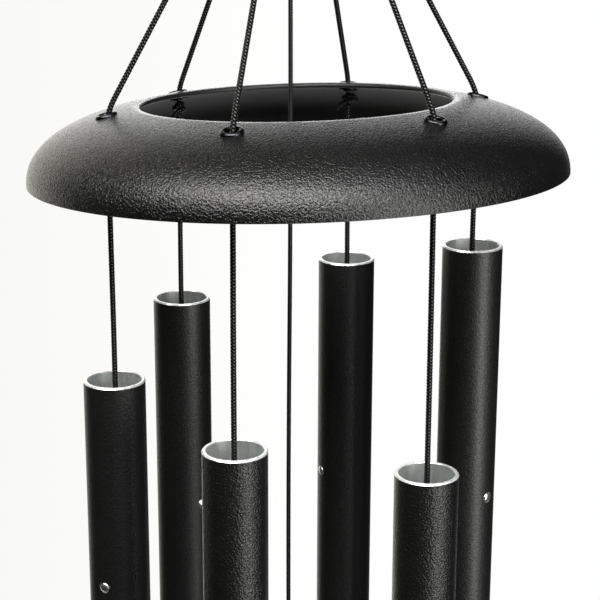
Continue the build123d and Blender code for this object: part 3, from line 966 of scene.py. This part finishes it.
def sail_shell():
    """The plate: a rounded edge, and two faces that are flat from the edge to the hole."""
    half, edge = SAIL_THICKNESS / 2, SAIL_EDGE_ROUNDING
    section = []
    for a in np.radians(np.linspace(90, 0, 6)):
        section.append((edge * (1 - math.cos(a)), half - edge * (1 - math.sin(a))))
    section += [(inset, -y) for inset, y in section[::-1]]
    rim = [sail_outline(inset, y) for inset, y in section]
    angles = np.arctan2(rim[0][:, 2], rim[0][:, 0])
    hole = SAIL_BORE_RADIUS * np.stack([np.cos(angles), 0 * angles, np.sin(angles)], -1)
    faces = []
    for outline in (rim[0], rim[-1]):
        inner = hole + np.array([0, outline[0][1], 0])
        shares = np.linspace(0, 1, SAIL_FACE_ROWS)
        faces.append([outline * (1 - share) + inner * share for share in shares])
    return grid(np.array(faces[0][::-1] + rim[1:-1] + faces[1]), loop=True)


def sail_grommet_profile():
    """The sail's eyelet, rolled over alike on both faces."""
    bore, half = SAIL_EYELET_BARREL / 2, SAIL_THICKNESS / 2 + SEAT_GAP
    lip = arc((bore + 0.4, half), (0.9, 0.6), 0, 180, 11)
    return [(bore, -half), (bore, half)] + lip + [(r, -z) for r, z in lip[::-1]]


hole = Matrix.Translation((CENTRE_CORD_X, 0, middle("sail_eyelet")[2]))
made = new_object("sail_plate", moved(sail_shell(), hole))
finished(made, "sail_body", POWDER, "powder_coat", "sail", sharp_deg=50)
shell = lathe(sail_grommet_profile(), SAIL_GROMMET_SEGMENTS, loop=True)
made = new_object("sail_grommet", moved(shell, hole @ turn("X", 90)))
finished(made, "sail_body", GUNMETAL, "eyelet", "sail_eyelet", sharp_deg=50)
link_radius = (SAIL_RING_BORE + SAIL_RING_WIRE) / 2
shell = ring_shell(link_radius, SAIL_RING_WIRE, segments=96, sides=20)
made = new_object("sail_link_ring", moved(shell, shift(*middle("sail_ring")) @ turn("Z", 90)))
finished(made, "sail_link", STEEL, "steel", "sail_ring")
wound = helix(SAIL_TURN_RADIUS * HITCH_SWELL, SAIL_TURNS, HITCH_STEPS, CENTRE_CORD)
wire_top = shift(CENTRE_CORD_X, 0, middle("sail_ring")[2] + link_radius)
shell = braided(spline_points(wound), CENTRE_CORD, (True, True))
made = new_object("sail_turns", moved(shell, wire_top @ turn("X", 90)))
finished(made, "sail_link", CORD_LOOK, "cord", "sail_hitch")


# ---- studio ----
FLOOR_Z_M = -3.0
FLOOR_RADIUS_M = 60
AMBIENT = 0.03
LEFT_WHITE = (0.940, 0.935, 0.900, 1)
LEFT_TINT = (1.0, 0.98, 0.885, 1)
WHITE = (1, 1, 1, 1)
BACKDROP_FADE = (-0.24, 0.04)  # from left to white, in the sideways part of the direction
TINT_FADE = (-0.5, 0.0)
GLOWS = (  # azimuth from the front towards +X, elevation, inner and outer angle, strength
    (-158, -2, 8, 46, 1.35),
    (178, 4, 5, 22, 0.85),
    (-20, 78, 10, 52, 0.5),
    (42, 18, 12, 48, 0.9),
    (180, -42, 8, 34, 1.05),
)
SOFTBOXES = (  # name, azimuth, elevation, distance, width and height, radiance, colour
    ("key", -28, 48, 2.0, (2.2, 1.05), 11.5, (1.0, 0.99, 0.97)),
    ("second", 22, 42, 2.2, (1.2, 1.1), 5.5, (1, 1, 1)),
    ("side_strip", 46, -8, 2.2, (0.65, 2.4), 8, (1.0, 0.985, 0.95)),
    ("back_strip", 180, -14, 2.2, (0.6, 1.5), 2.2, (1, 1, 1)),
)


def backdrop(tree, where):
    """White, a little warmer and duller towards the left."""
    side = node(tree, "ShaderNodeSeparateXYZ", {0: where}).outputs["X"]
    return blended(tree, ranged(tree, side, *BACKDROP_FADE, 0, 1, True), LEFT_WHITE, WHITE)


def make_floor():
    """A plain floor that only the eye sees, as bright as the backdrop behind it."""
    material, tree = new_material("studio_floor")
    down = {0: own_place(tree), 1: (0, 0, FLOOR_Z_M)}
    lowered = node(tree, "ShaderNodeVectorMath", down, operation="ADD").outputs[0]
    where = node(tree, "ShaderNodeVectorMath", {0: lowered}, operation="NORMALIZE").outputs[0]
    glowing = node(tree, "ShaderNodeEmission", {"Color": backdrop(tree, where), "Strength": 1.0})
    output = tree.nodes["Material Output"]
    tree.nodes.remove(tree.nodes["Principled BSDF"])
    tree.links.new(glowing.outputs[0], output.inputs["Surface"])
    floor = new_object("floor", lathe([(0, 0), (FLOOR_RADIUS_M / MM, 0.001)], 96))
    floor.location = (0, 0, FLOOR_Z_M)
    floor.data.materials.append(material)
    for ray in ("diffuse", "glossy", "transmission", "volume_scatter", "shadow"):
        setattr(floor, f"visible_{ray}", False)


def glow(tree, way, azimuth, elevation, inner, outer, strength):
    """A soft patch of the surroundings that fades out between two angles from its middle."""
    a, e = math.radians(azimuth), math.radians(elevation)
    aim = (math.sin(a) * math.cos(e), -math.cos(a) * math.cos(e), math.sin(e))
    near = node(tree, "ShaderNodeVectorMath", {0: way, 1: aim}, operation="DOT_PRODUCT").outputs["Value"]
    rim, full = math.cos(math.radians(outer)), math.cos(math.radians(inner))
    return ranged(tree, near, rim, full, 0.0, strength, True)


def make_world():
    """White all round for the eye. The object is lit by soft patches behind it, to its right and above it."""
    world = bpy.data.worlds.new("studio")
    bpy.context.scene.world = world
    world.use_nodes = True
    tree = world.node_tree
    way = node(tree, "ShaderNodeTexCoord").outputs["Generated"]
    strength = AMBIENT
    for patch in GLOWS:
        strength = sums(tree, "ADD", glow(tree, way, *patch), strength)
    seen = node(tree, "ShaderNodeBackground", {"Color": backdrop(tree, way), "Strength": 1.0})
    side = node(tree, "ShaderNodeSeparateXYZ", {0: way}).outputs["X"]
    tint = blended(tree, ranged(tree, side, *TINT_FADE, 0, 1, True), LEFT_TINT, WHITE)
    lit = node(tree, "ShaderNodeBackground", {"Color": tint, "Strength": strength})
    eye = node(tree, "ShaderNodeLightPath").outputs["Is Camera Ray"]
    mixed = node(tree, "ShaderNodeMixShader", {0: eye, 1: lit.outputs[0], 2: seen.outputs[0]})
    tree.links.new(mixed.outputs[0], tree.nodes["World Output"].inputs["Surface"])


def softbox(name, azimuth, elevation, distance, size, radiance, colour):
    """A soft rectangular light that faces the halo, azimuth from the front towards +X."""
    data = bpy.data.lights.new(name, "AREA")
    data.shape = "RECTANGLE"
    data.size, data.size_y = size
    data.energy = radiance * math.pi * size[0] * size[1]
    data.color = colour
    lamp = bpy.data.objects.new(name, data)
    bpy.context.scene.collection.objects.link(lamp)
    a, e = math.radians(azimuth), math.radians(elevation)
    way = Vector((math.sin(a) * math.cos(e), -math.cos(a) * math.cos(e), math.sin(e)))
    lamp.location = Vector((0, 0, HALO_Z * MM)) + way * distance
    lamp.rotation_mode = "QUATERNION"
    lamp.rotation_quaternion = way.to_track_quat("Z", "Y")
    lamp.visible_camera = False


make_floor()
make_world()
for box in SOFTBOXES:
    softbox(*box)
bpy.context.scene.view_settings.view_transform = "Standard"
